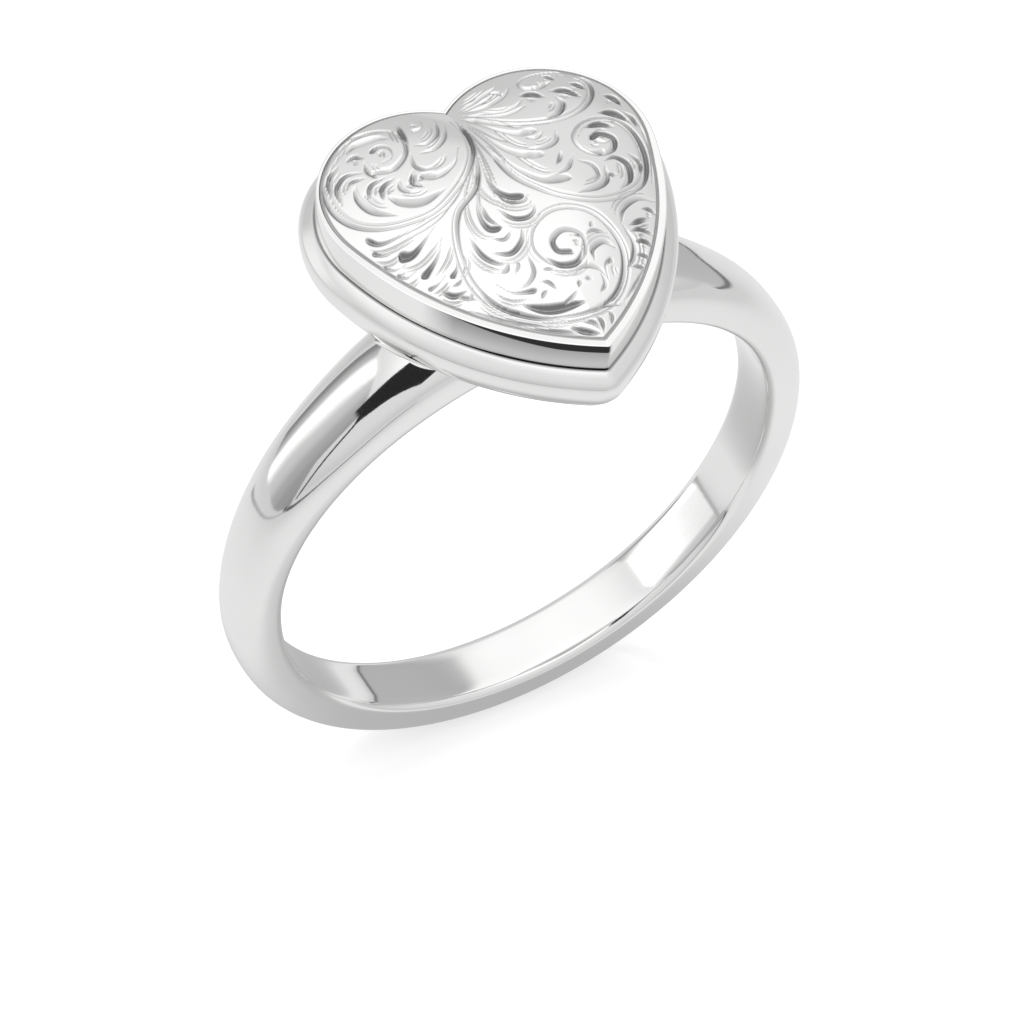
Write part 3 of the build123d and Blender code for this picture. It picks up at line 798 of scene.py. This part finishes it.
def floor_shader(nodes, links):
    """White with a faint gloss to the camera; what reflects it sees a soft grey pool of light, darkened under
    the ring as a painted shadow.
    """
    base = nodes.new("ShaderNodeBsdfDiffuse")
    base.inputs["Color"].default_value = (0.9, 0.9, 0.9, 1)
    glow = nodes.new("ShaderNodeEmission")
    glow.inputs["Strength"].default_value = 0.45
    both = nodes.new("ShaderNodeAddShader")
    links.new(base.outputs[0], both.inputs[0])
    links.new(glow.outputs[0], both.inputs[1])
    gloss = nodes.new("ShaderNodeBsdfGlossy")
    gloss.inputs["Roughness"].default_value = 0.02
    seen = nodes.new("ShaderNodeMixShader")
    seen.inputs["Fac"].default_value = 0.12
    links.new(both.outputs[0], seen.inputs[1])
    links.new(gloss.outputs[0], seen.inputs[2])
    where = nodes.new("ShaderNodeTexCoord")
    far = nodes.new("ShaderNodeVectorMath")
    far.operation = "LENGTH"
    links.new(where.outputs["Object"], far.inputs[0])
    reach = math_node(nodes, links, "DIVIDE", far.outputs["Value"], POOL_RADIUS)
    mirrored = nodes.new("ShaderNodeEmission")
    links.new(tone_ramp(nodes, links, reach, POOL_TONES), mirrored.inputs["Color"])
    path = nodes.new("ShaderNodeLightPath")
    mix = nodes.new("ShaderNodeMixShader")
    links.new(path.outputs["Is Glossy Ray"], mix.inputs["Fac"])
    links.new(seen.outputs[0], mix.inputs[1])
    links.new(mirrored.outputs[0], mix.inputs[2])
    return mix.outputs[0]


mesh = bpy.data.meshes.new("floor")
corners = [(-1, -1), (1, -1), (1, 1), (-1, 1)]
mesh.from_pydata([(x * FLOOR_HALF, y * FLOOR_HALF, floor_z) for x, y in corners], [], [(0, 1, 2, 3)])
floor = bpy.data.objects.new("floor", mesh)
bpy.context.scene.collection.objects.link(floor)
floor.data.materials.append(stage_material("floor_white", floor_shader))


def card_shader(tones, soft, ceiling):
    """A function that builds a card's light, which fades at its sides and top and shows to some rays."""

    def build(nodes, links):
        def calc(*of):
            return math_node(nodes, links, *of)

        where = nodes.new("ShaderNodeTexCoord")
        place = nodes.new("ShaderNodeSeparateXYZ")
        links.new(where.outputs["Generated"], place.inputs[0])
        glow = nodes.new("ShaderNodeEmission")
        links.new(tone_ramp(nodes, links, place.outputs["X"], tones), glow.inputs["Color"])
        # where the ray set out from: its hit point plus its way back
        here = nodes.new("ShaderNodeNewGeometry")
        path = nodes.new("ShaderNodeLightPath")
        way = nodes.new("ShaderNodeVectorMath")
        way.operation = "SCALE"
        links.new(here.outputs["Incoming"], way.inputs[0])
        links.new(path.outputs["Ray Length"], way.inputs["Scale"])
        start = nodes.new("ShaderNodeVectorMath")
        start.operation = "ADD"
        links.new(here.outputs["Position"], start.inputs[0])
        links.new(way.outputs["Vector"], start.inputs[1])
        apart = nodes.new("ShaderNodeSeparateXYZ")
        links.new(start.outputs["Vector"], apart.inputs[0])
        low_enough = calc("LESS_THAN", apart.outputs["Z"], ceiling * MM)
        off_floor = calc("GREATER_THAN", apart.outputs["Z"], floor_z + 0.01 * MM)
        shown = calc("MULTIPLY", low_enough, off_floor)
        for axis, middle in (("X", 0.5), ("Y", 0.0)) if soft else ():
            fade = nodes.new("ShaderNodeMapRange")
            fade.interpolation_type = "SMOOTHSTEP"
            fade.inputs["From Min"].default_value = 1 - middle - soft
            fade.inputs["From Max"].default_value = 1 - middle
            fade.inputs["To Min"].default_value = 1
            fade.inputs["To Max"].default_value = 0
            links.new(calc("ABSOLUTE", calc("SUBTRACT", place.outputs[axis], middle)), fade.inputs["Value"])
            shown = calc("MULTIPLY", shown, fade.outputs[0])
        clear = nodes.new("ShaderNodeBsdfTransparent")
        mix = nodes.new("ShaderNodeMixShader")
        links.new(shown, mix.inputs["Fac"])
        links.new(clear.outputs[0], mix.inputs[1])
        links.new(glow.outputs[0], mix.inputs[2])
        return mix.outputs[0]

    return build


def card(name, toward, corners, tones, soft=0, ceiling=1000.0):
    """A card seen only in reflections.

    toward is the azimuth (0 is the -Y side, 90 the +X side), the elevation and the distance at which it
    hangs from the middle of the head; corners lie in its plane, in mm; tones run across its width, or are
    one even tone; soft is how far its light fades at the sides and the top, as a share of its size; only
    surfaces below the ceiling, in mm, see it.
    """
    if isinstance(tones, float):
        tones = ((0, tones), (1, tones))
    a, e = math.radians(toward[0]), math.radians(toward[1])
    out = Vector((math.sin(a) * math.cos(e), -math.cos(a) * math.cos(e), math.sin(e)))
    mesh = bpy.data.meshes.new(name)
    mesh.from_pydata([(x * MM, y * MM, 0) for x, y in corners], [], [tuple(range(len(corners)))])
    obj = bpy.data.objects.new(name, mesh)
    bpy.context.scene.collection.objects.link(obj)
    obj.rotation_mode = "QUATERNION"
    obj.rotation_quaternion = (-out).to_track_quat("-Z", "Y")
    obj.location = out * toward[2] * MM + Vector((0, 0, HEAD_Z * MM))
    obj.data.materials.append(stage_material(name, card_shader(tones, soft, ceiling)))
    obj.visible_camera = obj.visible_diffuse = obj.visible_shadow = obj.visible_transmission = False


def oblong(width, height):
    """Corners of an upright card."""
    x, y = width / 2, height / 2
    return [(-x, -y), (x, -y), (x, y), (-x, y)]


# the cards hang round this height; only the band lies below the other
HEAD_Z, CASE_UNDERSIDE = 8, 9.22
# the streak of the left shoulder, its thin frame, the dark wedge beside it and the line at its foot
STREAK = [(-56, -41), (140, -41), (104, -14), (70, 10), (58, 41), (-56, 41)]
STREAK_TONES = ((0, 0.08), (0.07, 0.28), (0.15, 0.5), (0.24, 1.5), (0.32, 0.62), (0.45, 0.42),
                (0.6, 0.34), (1, 0.3))
FRAME_LINE = [(-16.9, -8.2), (-10.6, -5.4), (-5.2, -3.4), (1.2, -1.7), (6.5, -0.6), (11.9, 0.3),
              (22.4, 1.4), (28.4, 2.4), (29.6, 5.2), (28.6, 5.4), (27.6, 3.0), (22.2, 2.0), (11.7, 0.9),
              (6.3, 0.0), (1.0, -1.0), (-5.8, -2.6), (-11.3, -4.4), (-18, -7.0)]
WEDGE = [(-3.4, -1.2), (-1.2, -1.3), (-0.3, -1.8), (0.6, -4.2), (2, -8), (2.6, -10), (3.1, -10),
         (2.6, -8), (1.2, -4.2), (0.3, -1.6), (1.5, -0.6), (3.6, 1.2), (6, 2.4), (9, 3.4), (13, 4),
         (13, 9), (-3.4, 9)]
card("streak", (-123, 12, 110), STREAK, STREAK_TONES, 0.04, CASE_UNDERSIDE)
card("left_frame", (-110, -14, 40), FRAME_LINE, 0.42, 0, CASE_UNDERSIDE)
card("left_glow", (-123, 14, 114), oblong(150, 90), ((0, 0.8), (0.45, 0.95), (1, 0.66)), 0.2)
card("wedge", (-84, 22.2, 16), WEDGE, 0.02, 0, CASE_UNDERSIDE)
card("left_foot", (-45, -8.6, 110), oblong(150, 7), ((0, 0.03), (1, 0.3)))
# the grey of the right shoulder and the line at its foot
ROOM = [(-27, -15), (27, -29), (27, 26), (-27, 26)]
ROOM_FOOT = [(-24, -16.8), (27, -30), (27, -28.4), (-24, -15.2)]
card("right_room", (110, 12, 50), ROOM, ((0, 0.55), (0.6, 0.5), (1, 0.42)), 0.2, CASE_UNDERSIDE)
card("right_foot", (110, 12, 49.8), ROOM_FOOT, 0.15, 0, CASE_UNDERSIDE)

# ---- light: a soft tent all round
world = bpy.data.worlds.new("studio")
bpy.context.scene.world = world
world.use_nodes = True
nodes, links = world.node_tree.nodes, world.node_tree.links
nodes.clear()
coords = nodes.new("ShaderNodeTexCoord")
split = nodes.new("ShaderNodeSeparateXYZ")
links.new(coords.outputs["Generated"], split.inputs[0])


def across(axis, stops):
    """Tones along an axis of the direction, from -1 to 1."""
    share = nodes.new("ShaderNodeMapRange")
    share.inputs["From Min"].default_value = -1
    links.new(split.outputs[axis], share.inputs["Value"])
    return tone_ramp(nodes, links, share.outputs[0], [((place + 1) / 2, tone) for place, tone in stops])


# brightest overhead, and darker low down at the back than at the front
front = across("Z", ((-1, 0.7), (0, 0.62), (0.4, 0.74), (0.8, 0.82), (0.93, 1.1), (1, 1.2)))
rear = across("Z", ((-1, 0.7), (0, 0.6), (0.25, 0.62), (0.55, 0.8), (0.8, 1.05), (1, 1.2)))
blend = nodes.new("ShaderNodeMix")
blend.data_type = "RGBA"
links.new(across("Y", ((-1, 0), (-0.3, 0), (0.3, 1), (1, 1))), blend.inputs["Factor"])
links.new(front, blend.inputs["A"])
links.new(rear, blend.inputs["B"])
sky = nodes.new("ShaderNodeBackground")
links.new(blend.outputs["Result"], sky.inputs["Color"])
world_out = nodes.new("ShaderNodeOutputWorld")
links.new(sky.outputs[0], world_out.inputs["Surface"])

# ---- camera
AZ, EL, ROLL = math.radians(-32.617), math.radians(51.185), math.radians(4.93)
DIST = 246.4 * MM
back = Vector((math.sin(AZ) * math.cos(EL), -math.cos(AZ) * math.cos(EL), math.sin(EL)))
right = Vector((0, 0, 1)).cross(back).normalized()
up = back.cross(right)
cam_right = right * math.cos(ROLL) + up * math.sin(ROLL)
cam_up = up * math.cos(ROLL) - right * math.sin(ROLL)
cam_data = bpy.data.cameras.new("camera")
cam = bpy.data.objects.new("camera", cam_data)
bpy.context.scene.collection.objects.link(cam)
cam.matrix_world = Matrix.Translation(back * DIST) @ Matrix((cam_right, cam_up, back)).transposed().to_4x4()
cam_data.sensor_width = 36.0
cam_data.lens = 281.25
cam_data.shift_x, cam_data.shift_y = -0.0002, -0.0211
cam_data.clip_start, cam_data.clip_end = 0.01, 20.0
bpy.context.scene.camera = cam
bpy.context.scene.view_settings.view_transform = "Standard"
